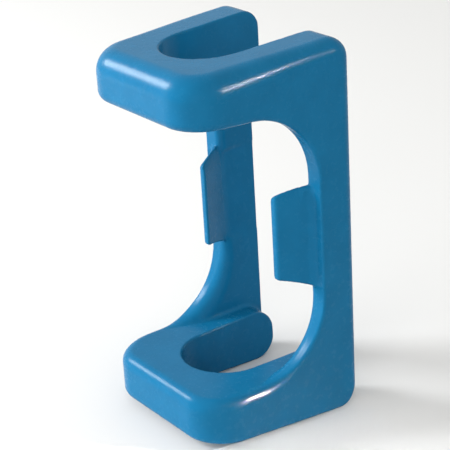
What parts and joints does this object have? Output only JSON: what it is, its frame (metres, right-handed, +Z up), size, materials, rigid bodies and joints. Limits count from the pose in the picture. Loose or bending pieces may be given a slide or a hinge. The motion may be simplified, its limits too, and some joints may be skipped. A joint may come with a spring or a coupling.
{
  "type": "bag clip",
  "caption": "Moulded bag clip: two slotted U-shaped yokes joined at the back by posts, with a snap finger on each post leaning in over the channel.",
  "frame": {"origin": "middle of the flat back plane, at the height where the foot's lower face meets that plane", "axes": "+Z up from the foot yoke to the crown yoke, -Y out of the front, +Y out of the flat back, X across with the right post at +X"},
  "size_m": [0.0292, 0.0285, 0.0596],
  "materials": {
    "blue_plastic": "satin moulded, fine grain"
  },
  "bodies": {
    "frame": {"crown_yoke": "blue_plastic", "foot_yoke": "blue_plastic", "left_post": "blue_plastic", "right_post": "blue_plastic"},
    "left_snap": {"left_finger": "blue_plastic"},
    "right_snap": {"right_finger": "blue_plastic"}
  },
  "joints": [
    {"name": "left_finger_flex", "type": "hinge", "parent": "frame", "child": "left_snap", "pos_m": [-0.0123, -0.0066, 0.0297], "axis": [0, 0, 1], "range_deg": [-5.5, 5.5], "stiffness_Nm_per_rad": 2.5},
    {"name": "right_finger_flex", "type": "hinge", "parent": "frame", "child": "right_snap", "pos_m": [0.0123, -0.0066, 0.0297], "axis": [0, 0, 1], "range_deg": [-5.5, 5.5], "stiffness_Nm_per_rad": 2.5}
  ]
}
